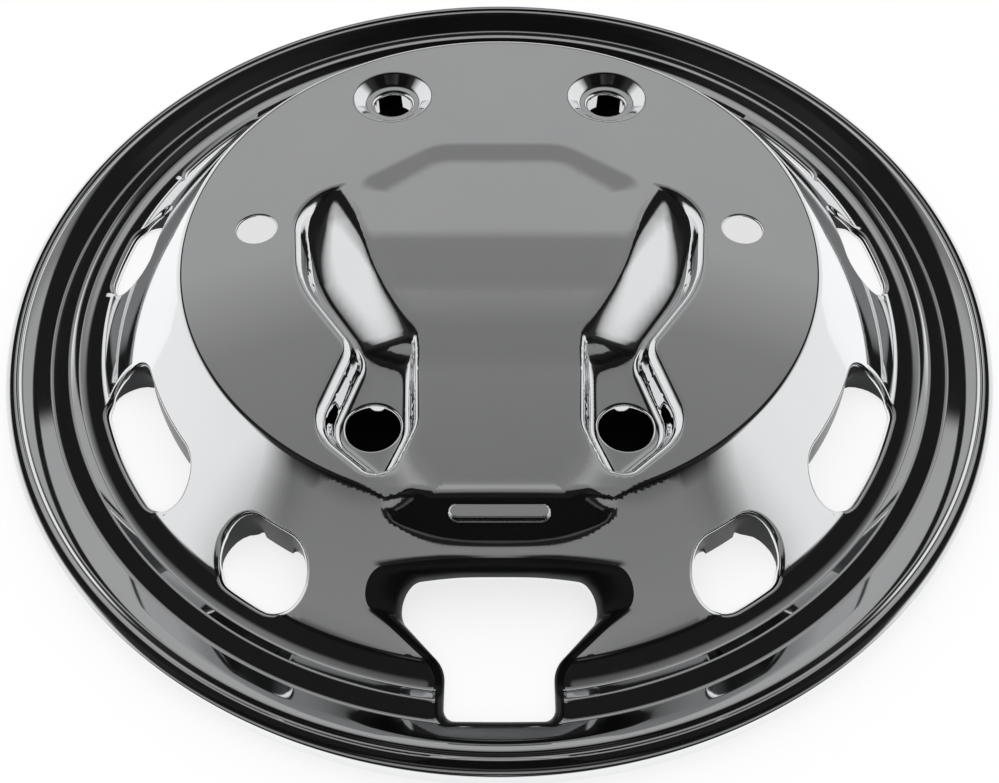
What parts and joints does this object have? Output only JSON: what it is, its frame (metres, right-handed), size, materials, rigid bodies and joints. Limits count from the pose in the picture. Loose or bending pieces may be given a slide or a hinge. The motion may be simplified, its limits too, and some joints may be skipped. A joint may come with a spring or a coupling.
{
  "type": "wheel simulator",
  "caption": "Pressed bright steel wheel cover for a truck, with a raised face, dished stud holes, folded grooves, hand holes round the wall, a keyhole opening and a stepped rolled rim.",
  "frame": {"origin": "middle of the rim's edge, the circle that the cover lies on", "axes": "+Z out of the wheel along its axis, -Y towards the keyhole, +X to the right"},
  "size_m": [0.46, 0.46, 0.043],
  "materials": {
    "chrome": "mirror-polished pressed sheet"
  },
  "bodies": {
    "root": {"wheel_simulator": "chrome"}
  },
  "joints": []
}
